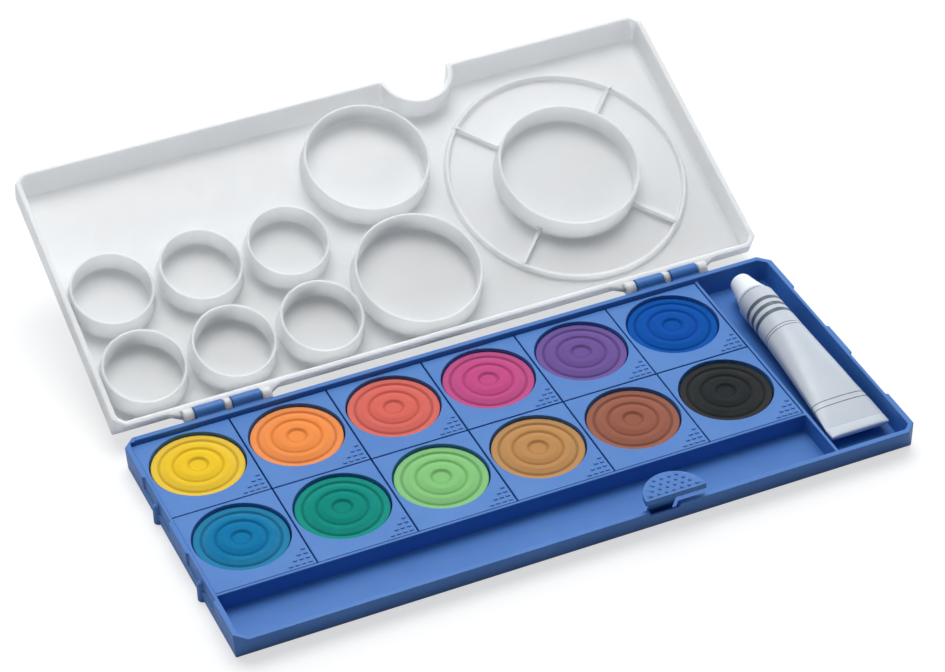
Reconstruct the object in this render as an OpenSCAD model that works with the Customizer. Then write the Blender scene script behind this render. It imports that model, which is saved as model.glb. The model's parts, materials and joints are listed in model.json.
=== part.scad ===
// Paint set box: a shallow blue tray with twelve paint pans, a brush tray and a
// tube compartment, and a white lid that opens out flat as a mixing palette.
// Origin: centre of the tray's underside. +X along the box, +Y towards the hinges, +Z up.

/* [Box] */
// Length of the tray and of the lid at the rim
box_w = 232; // [226:1:250]
// Depth of the tray and of the lid at the rim, front to hinge side
box_d = 102.5; // [100:0.5:112]
// How far the tray's front and both long faces of the lid lean in from rim to base
face_lean = 3.5; // [2.5:0.1:4]
// How far the tray's back face leans in from rim to base
back_lean = 1.2; // [0.6:0.1:1.2]
// How far the end faces lean in from rim to base
end_lean = 0.6; // [0.2:0.1:1.2]
// Width of the flat that cuts off each corner at the rim
corner_cut = 3.8; // [2:0.1:3.9]
// Thickness of the side walls
wall_t = 2; // [1.9:0.1:2.3]

/* [Tray] */
// Height of the tray
tray_h = 9.2; // [8.6:0.1:12]
// Thickness of the tray's floor
tray_floor = 1.2; // [0.8:0.1:1.8]
// Thickness of the walls between the compartments
divider_t = 1.1; // [0.8:0.1:1.6]
// How far the dividers stand below the rim
divider_drop = 1.4; // [0.5:0.1:3]
// Height of the low ribs that keep the pans apart
rib_h = 1.6; // [0.8:0.1:2.4]
// Thickness of those ribs
rib_t = 0.8; // [0.5:0.1:1.1]

/* [Pans] */
// Length of one pan's plate along the tray
pan_w = 33.05; // [32.55:0.05:33.2]
// Depth of one pan's plate, front to back
pan_d = 37.5; // [36.5:0.1:37.8]
// Gap between neighbouring pans
pan_gap = 0.5; // [0.3:0.1:0.8]
// Gap between the pans and the walls round them
bay_gap = 0.3; // [0.3:0.1:0.6]
// How far the pans' tops lie below the rim of the tray
pan_drop = 1.6; // [1:0.1:3]
// Thickness of a pan's top plate
plate_t = 1.2; // [0.8:0.1:1.6]
// Thickness of a pan's skirt and of its cup's wall
pan_wall = 0.8; // [0.6:0.1:1]
// How far a pan's skirt leans in on each side
pan_lean = 0.7; // [0.6:0.1:1]
// Distance from a pan's back edge to the centre of its cup
cup_back = 16.5; // [16.4:0.1:18]
// Height of the grip nibs on a pan's corner
nib_h = 0.3; // [0.2:0.05:0.5]
// Distance between the grip nibs
nib_step = 2.1; // [1.8:0.1:2.4]

/* [Paint cakes] */
// Diameter of a paint cake
cake_dia = 30; // [29:0.1:30]
// Space between a cake and its cup
cake_gap = 0.5; // [0.2:0.1:0.6]
// How far the border of a cake lies below its pan's top
cake_drop = 1; // [0.9:0.1:1.5]
// Height of one step of the pressed rings
ring_step = 0.35; // [0.2:0.05:0.4]

/* [Lid] */
// Height of the lid from rim to outer face
lid_h = 9.8; // [9.4:0.1:12]
// Thickness of the lid's floor
lid_floor = 1.5; // [1:0.1:2]
// How far the lid opens from closed
lid_open = 158; // [120:1:170]
// Space between the two rims when the lid is closed
rim_gap = 0.2; // [0.1:0.05:0.4]
// Radius of the thumb notch in the lid's front edge
notch_r = 11.65; // [11.3:0.05:13]
// Place of the notch and the latch along the box
latch_x = 29.8; // [20:0.1:40]

/* [Mixing wells] */
// Inside radius of a small well
small_r = 13; // [10:0.1:13.4]
// Distance between small wells
small_step = 31; // [30.5:0.1:33]
// Place of the first small well along the lid
small_x = -99; // [-99:0.1:-97]
// Distance from the hinge side to the first row of small wells
small_v = 19.7; // [19.7:0.1:21]
// Inside radius of a large well
large_r = 20.7; // [18:0.1:21]
// Place of the large wells along the lid
large_x = 0.8; // [0:0.1:1.4]
// Distance from the hinge side to the first large well
large_v = 27.4; // [27.2:0.1:28]
// Distance between the large wells
large_step = 46.6; // [46:0.1:47]
// Inside radius of the round middle well
centre_r = 23.7; // [20:0.1:26]
// Place of the ring palette along the lid
ring_x = 66.5; // [66:0.1:68]
// Distance from the hinge side to the middle of the ring palette
ring_v = 50.4; // [49:0.1:52]
// Radius of the low ring round the middle well
ring_r = 41.4; // [38:0.1:41.8]
// Thickness of a well's wall at its rim
well_wall = 1; // [0.8:0.1:1.4]
// How far the wells' rims lie below the lid's rim
well_drop = 0.5; // [0.3:0.1:2]
// Height of the low ring and its spokes
ring_h = 2; // [1:0.1:3]

/* [Hinges] */
// Distance of a hinge from the middle of the box
hinge_x = 78.9; // [60:0.1:90]
// Distance of the hinge axis behind the tray's back face
hinge_back = 2.4; // [2.4:0.1:3.2]
// Outer radius of the tray's barrels
barrel_r = 2.3; // [2:0.05:2.4]
// Length of one barrel
barrel_l = 10; // [7:0.1:12]
// Width of the lid's middle knuckle
mid_knuckle = 2.3; // [1.6:0.1:3]
// Width of the lid's end knuckles
end_knuckle = 3.4; // [2.4:0.1:5]
// Radius of the hinge pin
pin_r = 1.2; // [1:0.05:1.25]
// Space between the pin and its barrel
pin_fit = 0.06; // [0.03:0.01:0.1]
// Space between knuckles and barrels along the axis
knuckle_gap = 0.25; // [0.15:0.05:0.4]

/* [Latch] */
// Radius of the thumb tab
tab_r = 10.45; // [8:0.05:10.6]
// Thickness of the thumb tab
tab_t = 2; // [1.4:0.1:2.6]
// Height of the tab's top above the tray's rim
tab_rise = 4.4; // [3.4:0.1:5.5]
// Distance from the tray's front face back to the tab's straight edge
tab_back = 0.95; // [0.5:0.05:1.4]
// Thickness of the latch's spring arm
arm_t = 1.2; // [0.9:0.1:1.5]
// Width of the latch's spring arm
arm_w = 9; // [6:0.5:11]
// Distance of the arm from the middle of the tab
arm_shift = 4; // [3:0.1:4.5]
// How far the tray's rim is cut down in front of the arm
rim_cut = 1.6; // [0.8:0.1:2.4]
// Radius of the bead at the arm's foot
bead_r = 0.9; // [0.8:0.05:1]
// Space between the bead and its cradle
bead_fit = 0.06; // [0.03:0.01:0.1]

/* [Paint tube] */
// Diameter of the tube
tube_dia = 13.3; // [12:0.1:13.4]
// Length of the tube from shoulder to fold
tube_l = 65.5; // [60:0.5:68]
// Length of the folded strip across the end
fold_l = 4.6; // [3:0.1:6]
// Thickness of the folded strip
fold_t = 1.2; // [0.9:0.1:1.6]
// Thickness of the tube's skin
skin_t = 0.4; // [0.3:0.05:0.6]
// Length of the cap
cap_l = 11; // [9:0.1:12.5]
// Diameter of the cap at its open end
cap_dia = 11.4; // [10.6:0.1:11.8]
// Diameter of the neck inside the cap
neck_dia = 6.2; // [5.5:0.1:6.6]
// Length of the neck
neck_l = 6; // [4:0.1:7]
// Height of the tube's cone between body and neck
cone_l = 1.6; // [1:0.1:2.4]

/* [Side lugs] */
// Radius of a side lug
lug_r = 1.7; // [1.2:0.1:2]
// Distance of a lug from the middle of the end wall
lug_y = 19.5; // [12:0.1:26]
// Length of the shallow window round each lug
window_l = 23.5; // [12:0.5:24]
// Depth of that window
window_t = 0.8; // [0.4:0.1:0.9]

/* [Hidden] */
COLOURS = ["yellow", "orange", "red", "magenta", "violet", "ultramarine",
           "cyan_blue", "blue_green", "light_green", "ochre", "brown", "black"];
$fn = 64;

// Paint colours in the order of COLOURS
PAINT = [[0.91, 0.76, 0.22], [0.94, 0.56, 0.30], [0.85, 0.40, 0.36], [0.78, 0.30, 0.57],
         [0.45, 0.35, 0.63], [0.05, 0.33, 0.67], [0.13, 0.50, 0.68], [0.10, 0.57, 0.50],
         [0.53, 0.79, 0.49], [0.76, 0.56, 0.34], [0.60, 0.37, 0.30], [0.16, 0.17, 0.18]];
BLUE = [0.36, 0.54, 0.81];
WHITE = [0.88, 0.89, 0.90];

// Pans in one row of the tray
pan_columns = 6;
// A hair's breadth that lets cutters run past a face
eps = 0.01;
// A length longer than any cut
far = 400;

// Levels
pan_top = tray_h - pan_drop;
divider_top = tray_h - divider_drop;
pan_h = pan_top - tray_floor;

// Slope of the tray's front and back faces, sideways for each unit of height
front_slope = face_lean / tray_h;
back_slope = back_lean / tray_h;

// Pan bay: its back edge follows the leaning back wall at the pans' top
bay_back = box_d / 2 - wall_t - back_slope * pan_drop - bay_gap;
pitch_x = pan_w + pan_gap;
pitch_y = pan_d + pan_gap;
bay_left = -box_w / 2 + wall_t + end_lean / tray_h * pan_drop + bay_gap;
bay_right = bay_left + pan_columns * pitch_x - pan_gap;
bay_front = bay_back - 2 * pitch_y + pan_gap;
tray_wall_y = bay_front - bay_gap;
tube_wall_x = bay_right + bay_gap;

// Cups and cakes
cup_r = cake_dia / 2 + cake_gap;
cake_top = pan_top - cake_drop;
cup_floor = tray_floor + pan_wall;

// Hinge axis
axis_y = box_d / 2 + hinge_back;
axis_z = tray_h + rim_gap / 2;
lid_tilt = 180 - lid_open;
knuckle_r = hinge_back - 0.3;
knuckle_half = barrel_l + mid_knuckle / 2 + knuckle_gap * 2 + end_knuckle;

// Latch
tab_y = -box_d / 2 + tab_back;
tab_top = tray_h + tab_rise;
bead_z = tray_floor + bead_r + 0.5;
// Room in front of the arm, so that the bead at its foot clears the leaning wall
arm_gap = (bead_r + 0.15) / cos(atan(front_slope)) - arm_t / 2;

// Paint tube, lying on the floor of its compartment
tube_r = tube_dia / 2;
tube_x = (tube_wall_x + divider_t + box_w / 2 - wall_t) / 2;
tube_z = tray_floor + tube_r;
shoulder_y = box_d / 2 - wall_t - back_lean - cap_l - cone_l - 5.3;
fold_w = PI * tube_r;

// Upright trough or block: full size at the top, its sides leaning in towards the bottom
module leaning_block(w, d, h, end_in, front_in, back_in, cut) {
    intersection() {
        rotate([90, 0, 0])
            linear_extrude(height = d + 2, center = true)
                polygon([[-w / 2 + end_in, 0], [w / 2 - end_in, 0], [w / 2, h], [-w / 2, h]]);
        rotate([90, 0, 90])
            linear_extrude(height = w + 2, center = true)
                polygon([[-d / 2 + front_in, 0], [d / 2 - back_in, 0], [d / 2, h], [-d / 2, h]]);
        translate([0, 0, -1])
            linear_extrude(height = h + 2)
                cut_rectangle(w, d, cut);
    }
}

// Rectangle with its four corners cut off at 45 degrees
module cut_rectangle(w, d, cut) {
    x = w / 2;
    y = d / 2;
    polygon([[x - cut, y], [x, y - cut], [x, -y + cut], [x - cut, -y],
             [-x + cut, -y], [-x, -y + cut], [-x, y - cut], [-x + cut, y]]);
}

// The inside of a box shell, from its floor up past its rim
module shell_inside(h, floor_t, front_in, back_in) {
    grow = 1;
    // The cutter keeps the walls' slope as it runs past the rim
    k = (h + grow) / h;
    inner_w = box_w - 2 * wall_t + 2 * end_lean * (k - 1);
    inner_d = box_d - 2 * wall_t + (front_in + back_in) * (k - 1);
    intersection() {
        translate([0, (back_in - front_in) * (k - 1) / 2, 0])
            leaning_block(inner_w, inner_d, h + grow, end_lean * k, front_in * k, back_in * k,
                          corner_cut - 0.6 * wall_t);
        translate([0, 0, floor_t + h])
            cube([far, far, 2 * h], center = true);
    }
}

// One of the tray's three compartments, bounded by a box in plan
module compartment(x0, x1, y0, y1) {
    intersection() {
        shell_inside(tray_h, tray_floor, face_lean, back_lean);
        translate([x0, y0, 0])
            cube([x1 - x0, y1 - y0, tray_h + 2]);
    }
}

// Square room for the pans' corners where the walls' inner corners are cut off
module pan_corner_room() {
    room = bay_gap / 2;
    translate([bay_left - room, bay_front - room, tray_floor])
        cube([bay_right - bay_left + 2 * room, bay_back - bay_front + 2 * room, tray_h]);
}

// Low ribs on the tray's floor between the pans
module pan_ribs() {
    for (i = [1 : pan_columns - 1])
        translate([bay_left + i * pitch_x - pan_gap / 2 - rib_t / 2, bay_front + 3, tray_floor - eps])
            cube([rib_t, 2 * pitch_y - pan_gap - 8, rib_h + eps]);
    translate([bay_left + 3, bay_front + pitch_y - pan_gap / 2 - rib_t / 2, tray_floor - eps])
        cube([pan_columns * pitch_x - 6, rib_t, rib_h + eps]);
}

// Shallow window in an end wall, with the lug that stands in it
module lug_windows() {
    for (side = [-1, 1], end = [-1, 1])
        translate([end * (box_w / 2 - window_t + 5), side * lug_y, tray_h / 2 + tray_h * 0.45])
            cube([10, window_l, tray_h * 0.9], center = true);
}

module side_lugs() {
    lug_h = tray_h * 0.62;
    for (side = [-1, 1], end = [-1, 1])
        intersection() {
            translate([end * (box_w / 2 - window_t), side * lug_y, 0]) {
                cylinder(r = lug_r, h = lug_h);
                translate([0, 0, lug_h])
                    sphere(r = lug_r);
            }
            // Only the half outside the wall
            translate([end * (box_w / 2 - wall_t + end_lean + 5), side * lug_y, 0])
                cube([10, 4 * lug_r, 4 * tray_h], center = true);
        }
}

// Two hinge barrels with the web that carries them, at one hinge
module tray_barrels() {
    for (side = [-1, 1])
        translate([side * (mid_knuckle / 2 + knuckle_gap + barrel_l / 2), axis_y, axis_z])
            rotate([90, 0, 90])
                linear_extrude(height = barrel_l, center = true)
                    barrel_profile();
}

// Side view of a barrel: a C that the pin snaps into from behind and below
module barrel_profile() {
    difference() {
        union() {
            circle(r = barrel_r);
            polygon([[-hinge_back - 1, -rim_gap / 2], [0, -rim_gap / 2], [0, -barrel_r],
                     [-hinge_back - 1.9, -barrel_r - 1.4]]);
        }
        circle(r = pin_r + pin_fit);
        rotate(-50)
            translate([0, -pin_r * 0.8])
                square([barrel_r + 1, pin_r * 1.6]);
    }
}

// Cradle on the brush tray's floor that holds the latch's bead
module latch_cradle() {
    block_w = arm_w + 2;
    translate([latch_x - arm_shift, bead_y(), 0])
        rotate([90, 0, 90])
            linear_extrude(height = block_w, center = true)
                difference() {
                    translate([-bead_r - 1.1, tray_floor - eps])
                        square([2 * bead_r + 2.2, bead_z + bead_r * 0.55 - tray_floor + eps]);
                    translate([0, bead_z])
                        circle(r = bead_r + bead_fit);
                    translate([-bead_r * 0.9, bead_z])
                        square([bead_r * 1.8, bead_r * 2]);
                }
}

// Pocket in the inside of the front wall that lets the latch's arm spring forward,
// with the notch in the rim above it
module latch_pocket() {
    skin = wall_t / 2;
    low = bead_z + bead_r + 0.2;
    top = tray_h + 1;
    pocket_w = arm_w + 1.2;
    translate([latch_x - arm_shift, 0, 0]) {
        rotate([90, 0, 90])
            linear_extrude(height = pocket_w, center = true)
                polygon([[front_face(low) + skin, low], [front_face(top) + skin, top],
                         [front_face(top) + 4, top], [front_face(low) + 4, low]]);
        translate([0, -box_d / 2, tray_h])
            cube([pocket_w, 2 * wall_t, 2 * rim_cut], center = true);
    }
}

module tray() {
    color(BLUE)
        difference() {
            union() {
                difference() {
                    leaning_block(box_w, box_d, tray_h, end_lean, face_lean, back_lean, corner_cut);
                    compartment(-far / 2, bay_right + bay_gap, tray_wall_y, far / 2);
                    pan_corner_room();
                    compartment(-far / 2, tube_wall_x, -far / 2, tray_wall_y - divider_t);
                    compartment(tube_wall_x + divider_t, far / 2, -far / 2, far / 2);
                    divider_tops();
                    lug_windows();
                }
                pan_ribs();
                side_lugs();
                latch_cradle();
                for (side = [-1, 1])
                    translate([side * hinge_x, 0, 0])
                        tray_barrels();
            }
            latch_pocket();
        }
}

// Takes the dividers down to their own height, inside the outer walls
module divider_tops() {
    intersection() {
        shell_inside(tray_h, tray_floor, face_lean, back_lean);
        translate([0, 0, divider_top + tray_h])
            cube([far, far, 2 * tray_h], center = true);
    }
}

// Outside of the leaning front wall at a given height
function front_face(z) = -box_d / 2 + front_slope * (tray_h - z);

// Front face of the latch's arm at a given height: it follows the front wall
function arm_front(z) = front_face(z) + wall_t + arm_gap;
function bead_y() = arm_front(bead_z) + arm_t / 2;

// Half-round tab with grip dots, on a thin arm whose bead sits in the tray's cradle
module thumb_latch() {
    arm_top = tab_top - tab_t;
    color(BLUE)
        translate([latch_x, 0, 0]) {
            translate([-arm_shift, 0, 0]) {
                rotate([90, 0, 90])
                    linear_extrude(height = arm_w, center = true)
                        polygon([[arm_front(bead_z), bead_z], [arm_front(arm_top), arm_top + eps],
                                 [arm_front(arm_top) + arm_t, arm_top + eps],
                                 [arm_front(bead_z) + arm_t, bead_z]]);
                translate([0, bead_y(), bead_z])
                    rotate([0, 90, 0])
                        cylinder(r = bead_r, h = arm_w, center = true);
            }
            translate([0, tab_y, arm_top])
                intersection() {
                    cylinder(r = tab_r, h = tab_t, $fn = 96);
                    translate([-tab_r, 0, -1])
                        cube([2 * tab_r, tab_r, tab_t + 2]);
                }
            grip_dots();
        }
}

// Staggered dots on the top of the tab, kept inside its rim
module grip_dots() {
    step = 2.6;
    for (row = [0 : 3], i = [-4 : 4]) {
        x = i * step + (row % 2) * step / 2;
        y = 1.7 + row * step * 0.8;
        if (norm([x, y]) < tab_r - 1.1)
            translate([x, tab_y + y, tab_top - eps])
                cylinder(r = 0.5, h = nib_h + eps, $fn = 16);
    }
}

// Outer form of a pan with its skirt leaning in towards the floor
module pan_form(w, d, h, lean) {
    intersection() {
        rotate([90, 0, 0])
            linear_extrude(height = d + 1, center = true)
                polygon([[-w / 2 + lean, 0], [w / 2 - lean, 0], [w / 2, h - plate_t],
                         [w / 2, h], [-w / 2, h], [-w / 2, h - plate_t]]);
        rotate([90, 0, 90])
            linear_extrude(height = w + 1, center = true)
                polygon([[-d / 2 + lean, 0], [d / 2 - lean, 0], [d / 2, h - plate_t],
                         [d / 2, h], [-d / 2, h], [-d / 2, h - plate_t]]);
    }
}

// One pan: top plate, skirt, round cup, and a triangle of grip nibs on its front right corner
module pan_shape() {
    cup_y = pan_d / 2 - cup_back;
    difference() {
        pan_form(pan_w, pan_d, pan_h, pan_lean);
        // Hollow under the plate, outside the cup
        difference() {
            translate([0, 0, -eps])
                pan_form(pan_w - 2 * pan_wall, pan_d - 2 * pan_wall, pan_h - plate_t, pan_lean);
            translate([0, cup_y, -1])
                cylinder(r = cup_r + pan_wall, h = pan_h + 2);
        }
        translate([0, cup_y, pan_wall])
            cylinder(r = cup_r, h = pan_h);
    }
    pan_nibs();
}

module pan_nibs() {
    for (i = [0 : 3], j = [0 : 3 - i])
        translate([pan_w / 2 - 1.6 - i * nib_step, -pan_d / 2 + 1.4 + j * nib_step, pan_h - eps])
            translate([-0.65, -0.3, 0])
                cube([1.3, 0.6, nib_h + eps]);
}

// Half section of a pressed cake: a plain border, then two rings that step up, each behind
// a shallow groove, to a middle with a dimple
function cake_profile(r, h) = [
    [0, 0], [r - 0.3, 0], [r, 0.4], [r, h - 0.3], [r - 0.3, h],
    [r * 0.87, h], [r * 0.84, h - ring_step * 0.5], [r * 0.81, h - ring_step * 0.5],
    [r * 0.75, h + ring_step], [r * 0.56, h + ring_step],
    [r * 0.53, h + ring_step * 0.6], [r * 0.51, h + ring_step * 0.6],
    [r * 0.45, h + ring_step * 2], [r * 0.25, h + ring_step * 2],
    [r * 0.21, h + ring_step * 1.3], [0, h + ring_step * 1.3]];

// Place of the pan or cake with a given number, counted from the back left
module at_pan(n) {
    column = n % pan_columns;
    row = floor(n / pan_columns);
    translate([bay_left + pan_w / 2 + column * pitch_x,
               bay_back - pan_d / 2 - row * pitch_y, tray_floor])
        children();
}

module pan(n) {
    color(BLUE)
        at_pan(n)
            pan_shape();
}

module cake(n) {
    color(PAINT[n])
        at_pan(n)
            translate([0, pan_d / 2 - cup_back, pan_wall])
                rotate_extrude($fn = 96)
                    polygon(cake_profile(cake_dia / 2, cake_top - cup_floor));
}

// Lid, drawn opened out flat about the hinge axis, then raised to its open stop
module palette_lid() {
    color(WHITE)
        translate([0, axis_y, axis_z])
            rotate([lid_tilt, 0, 0]) {
                difference() {
                    union() {
                        lid_shell();
                        notch_wall();
                        lid_inside() wells();
                        for (side = [-1, 1])
                            translate([side * hinge_x, 0, 0])
                                hinge_leaf();
                    }
                    notch_cut(notch_r);
                }
                for (side = [-1, 1])
                    translate([side * hinge_x, 0, 0])
                        hinge_knuckles();
            }
}

// Moves a shape from the lid's own tray frame to the flat open place: rim up at the hinge axis
module lid_place() {
    translate([0, hinge_back + box_d / 2, -rim_gap / 2 - lid_h])
        children();
}

module lid_shell() {
    lid_place()
        difference() {
            leaning_block(box_w, box_d, lid_h, end_lean, face_lean, face_lean, corner_cut);
            shell_inside(lid_h, lid_floor, face_lean, face_lean);
        }
}

// Keeps what stands on the lid's floor inside its walls
module lid_inside() {
    intersection() {
        lid_place()
            leaning_block(box_w, box_d, lid_h, end_lean, face_lean, face_lean, corner_cut);
        children();
    }
}

module notch_cut(r) {
    lid_place()
        translate([latch_x, box_d / 2, -1])
            cylinder(r = r, h = lid_h + 2, $fn = 96);
}

// Wall round the thumb notch
module notch_wall() {
    intersection() {
        lid_place()
            leaning_block(box_w, box_d, lid_h, end_lean, face_lean, face_lean, corner_cut);
        notch_cut(notch_r + wall_t);
    }
}

// Round wall that tapers a little towards its rim
module well(x, v, r, h) {
    foot = well_wall * 1.5;
    translate([x, v - box_d / 2, lid_floor - eps])
        rotate_extrude($fn = 96)
            polygon([[r - 0.3, 0], [r + foot, 0], [r + well_wall, h], [r, h]]);
}

module wells() {
    well_h = lid_h - lid_floor - well_drop;
    lid_place() {
        for (i = [0 : 2], j = [0, 1])
            well(small_x + i * small_step, small_v + j * small_step, small_r, well_h);
        for (j = [0, 1])
            well(large_x, large_v + j * large_step, large_r, well_h);
        well(ring_x, ring_v, centre_r, well_h);
        well(ring_x, ring_v, ring_r - well_wall / 2, ring_h);
        for (turn = [45 : 90 : 315])
            translate([ring_x, ring_v - box_d / 2, lid_floor - eps])
                rotate(turn)
                    translate([centre_r + well_wall, -well_wall / 2, 0])
                        cube([ring_r - centre_r - well_wall, well_wall, ring_h]);
    }
}

// Flared leaf that joins the lid's hinge side to the knuckles
module hinge_leaf() {
    reach = 1.2;
    leaf_t = knuckle_r - rim_gap / 2;
    slot_l = barrel_l + 2 * knuckle_gap;
    difference() {
        translate([0, 0, -rim_gap / 2 - leaf_t])
            linear_extrude(height = leaf_t)
                polygon([[-knuckle_half, 0], [-knuckle_half - 4.4, hinge_back],
                         [-knuckle_half - 4.4, hinge_back + reach],
                         [knuckle_half + 4.4, hinge_back + reach],
                         [knuckle_half + 4.4, hinge_back], [knuckle_half, 0]]);
        for (side = [-1, 1])
            translate([side * (mid_knuckle / 2 + slot_l / 2) - slot_l / 2, -4, -barrel_r - 3])
                cube([slot_l, 4 + barrel_r + 0.35, barrel_r + 6]);
    }
}

// Knuckles, the pin through them, and the heels that stop the lid against the tray's back
module hinge_knuckles() {
    rotate([0, 90, 0])
        cylinder(r = pin_r, h = 2 * knuckle_half - 2, center = true);
    for (x = [-1, 0, 1]) {
        w = x == 0 ? mid_knuckle : end_knuckle;
        translate([x * (knuckle_half - end_knuckle / 2), 0, 0])
            rotate([90, 0, 90])
                linear_extrude(height = w, center = true) {
                    circle(r = knuckle_r);
                    translate([0, -knuckle_r])
                        square([knuckle_r + 1, knuckle_r - rim_gap / 2]);
                    rotate(-lid_tilt)
                        translate([-hinge_back + 0.1, -1.5])
                            square([hinge_back, 1.5]);
                }
    }
}

// Half thickness of the tube at t, from 0 at the shoulder to 1 at the fold
function tube_rz(t) = tube_r + (fold_t / 2 - tube_r) * pow(t, 1.8);

// Half width there, so that the way round the tube stays the same
function tube_rx(t) = sqrt(2 * pow(tube_r, 2) - pow(tube_rz(t), 2)) * (1 + 0.11 * pow(t, 4));

// How far the pressed end sags towards the floor
function tube_sag(t) = -0.42 * (tube_r - tube_rz(t));

// One ring of points: an oval that grows squarer with t
function tube_ring(t, y, grow, sides) = [
    for (k = [0 : sides - 1])
        let (a = 360 * k / sides, n = 1 - 0.55 * pow(t, 3))
        [(tube_rx(t) + grow) * sign(cos(a)) * pow(abs(cos(a)), n), y,
         tube_sag(t) + (tube_rz(t) + grow) * sign(sin(a)) * pow(abs(sin(a)), n)]];

// Solid stretched over a list of rings that all have the same number of points
module skin_over(rings) {
    sides = len(rings[0]);
    count = len(rings);
    points = [for (ring = rings) each ring];
    wall = [for (i = [0 : count - 2], k = [0 : sides - 1])
               each [[i * sides + k, (i + 1) * sides + (k + 1) % sides, i * sides + (k + 1) % sides],
                     [i * sides + k, (i + 1) * sides + k, (i + 1) * sides + (k + 1) % sides]]];
    first = [[for (k = [0 : sides - 1]) k]];
    last = [[for (k = [sides - 1 : -1 : 0]) (count - 1) * sides + k]];
    polyhedron(points = points, faces = concat(first, wall, last), convexity = 4);
}

function tube_rings(start, stop, grow, sides, steps) = [
    for (i = [0 : steps])
        let (t = start + (stop - start) * i / steps)
        tube_ring(t, -tube_l * t, grow, sides)];

module tube_place() {
    translate([tube_x, shoulder_y, tube_z])
        children();
}

// Soft metal tube: cone and neck, body pressed flat towards the folded end
module tube_body() {
    sides = 40;
    cone_ring = tube_ring(0, cone_l, neck_dia / 2 + 0.6 - tube_r, sides);
    end_ring = tube_ring(1, -tube_l - fold_l, 0, sides);
    color([0.84, 0.87, 0.88])
        tube_place()
            difference() {
                union() {
                    skin_over(concat([cone_ring], tube_rings(0, 1, 0, sides, 12), [end_ring]));
                    translate([-fold_w / 2 + 0.4, -tube_l - fold_l * 0.5, tube_sag(1) - fold_t / 2 - 0.2])
                        cube([fold_w - 0.8, 0.5, fold_t + 0.4]);
                    rotate([-90, 0, 0])
                        cylinder(d = neck_dia, h = cone_l + neck_l);
                }
                skin_over(tube_rings(0.01, 0.93, -skin_t, sides, 10));
                rotate([-90, 0, 0])
                    translate([0, 0, -2])
                        cylinder(d = neck_dia * 0.55, h = cone_l + neck_l + 4);
            }
}

// Paint inside the tube
module tube_filling() {
    color([0.93, 0.93, 0.91])
        tube_place()
            skin_over(tube_rings(0.03, 0.88, -skin_t - 0.2, 24, 8));
}

// Tapered cap with a plain bore over the neck and a flute round its open end
module tube_cap() {
    seat = cone_l + 0.25;
    neck_gap = 0.08;
    color([0.87, 0.89, 0.92])
        translate([tube_x, shoulder_y, tube_z])
            rotate([-90, 0, 0])
                rotate_extrude()
                    polygon([[neck_dia / 2 + neck_gap, seat], [cap_dia / 2, seat],
                             [cap_dia / 2, seat + 1], [cap_dia * 0.35, cap_l + seat - 1.3],
                             [cap_dia * 0.32, cap_l + seat - 0.5], [cap_dia * 0.26, cap_l + seat],
                             [0, cap_l + seat], [0, seat + neck_l + 0.4],
                             [neck_dia / 2 + neck_gap, seat + neck_l + 0.4]]);
}

tray();
thumb_latch();
palette_lid();
pan(0);  // pan_yellow
pan(1);  // pan_orange
pan(2);  // pan_red
pan(3);  // pan_magenta
pan(4);  // pan_violet
pan(5);  // pan_ultramarine
pan(6);  // pan_cyan_blue
pan(7);  // pan_blue_green
pan(8);  // pan_light_green
pan(9);  // pan_ochre
pan(10);  // pan_brown
pan(11);  // pan_black
cake(0);  // cake_yellow
cake(1);  // cake_orange
cake(2);  // cake_red
cake(3);  // cake_magenta
cake(4);  // cake_violet
cake(5);  // cake_ultramarine
cake(6);  // cake_cyan_blue
cake(7);  // cake_blue_green
cake(8);  // cake_light_green
cake(9);  // cake_ochre
cake(10);  // cake_brown
cake(11);  // cake_black
tube_body();
tube_cap();
tube_filling();
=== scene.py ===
"""Looks of the paint set box: plastics, pressed paint cakes, the paint tube and the studio."""

import json
import logging
import math
from collections.abc import Callable, Sequence
from dataclasses import dataclass, field
from enum import Enum

import bmesh
import bpy
import numpy as np
from mathutils import Matrix, Vector

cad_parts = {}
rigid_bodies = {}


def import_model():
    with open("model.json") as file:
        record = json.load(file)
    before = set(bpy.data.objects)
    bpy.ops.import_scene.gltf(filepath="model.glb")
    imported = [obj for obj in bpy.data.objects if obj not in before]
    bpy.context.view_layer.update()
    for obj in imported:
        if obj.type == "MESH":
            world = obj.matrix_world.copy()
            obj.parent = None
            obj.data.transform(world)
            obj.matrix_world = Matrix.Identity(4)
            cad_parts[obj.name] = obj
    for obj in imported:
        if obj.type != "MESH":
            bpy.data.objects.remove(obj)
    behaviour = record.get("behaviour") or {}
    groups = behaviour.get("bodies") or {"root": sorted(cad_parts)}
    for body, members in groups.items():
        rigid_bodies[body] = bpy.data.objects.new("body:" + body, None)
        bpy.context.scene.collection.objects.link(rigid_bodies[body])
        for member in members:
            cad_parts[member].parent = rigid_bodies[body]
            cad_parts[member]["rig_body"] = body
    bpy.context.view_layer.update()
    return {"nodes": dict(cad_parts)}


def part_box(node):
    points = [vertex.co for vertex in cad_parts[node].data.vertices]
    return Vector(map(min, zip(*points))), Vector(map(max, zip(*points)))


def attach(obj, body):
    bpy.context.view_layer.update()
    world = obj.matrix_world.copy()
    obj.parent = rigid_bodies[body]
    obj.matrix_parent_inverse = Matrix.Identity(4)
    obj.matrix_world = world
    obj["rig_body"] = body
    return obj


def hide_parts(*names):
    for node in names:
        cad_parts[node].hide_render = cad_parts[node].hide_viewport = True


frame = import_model()

log = logging.getLogger("paint_box")
MM = 0.001
UV_SPAN = 100.0  # Millimetres along the tube that fill its UV map once.
Colour = tuple[float, float, float]
Place = Callable[[np.ndarray, np.ndarray, np.ndarray], np.ndarray]


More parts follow.
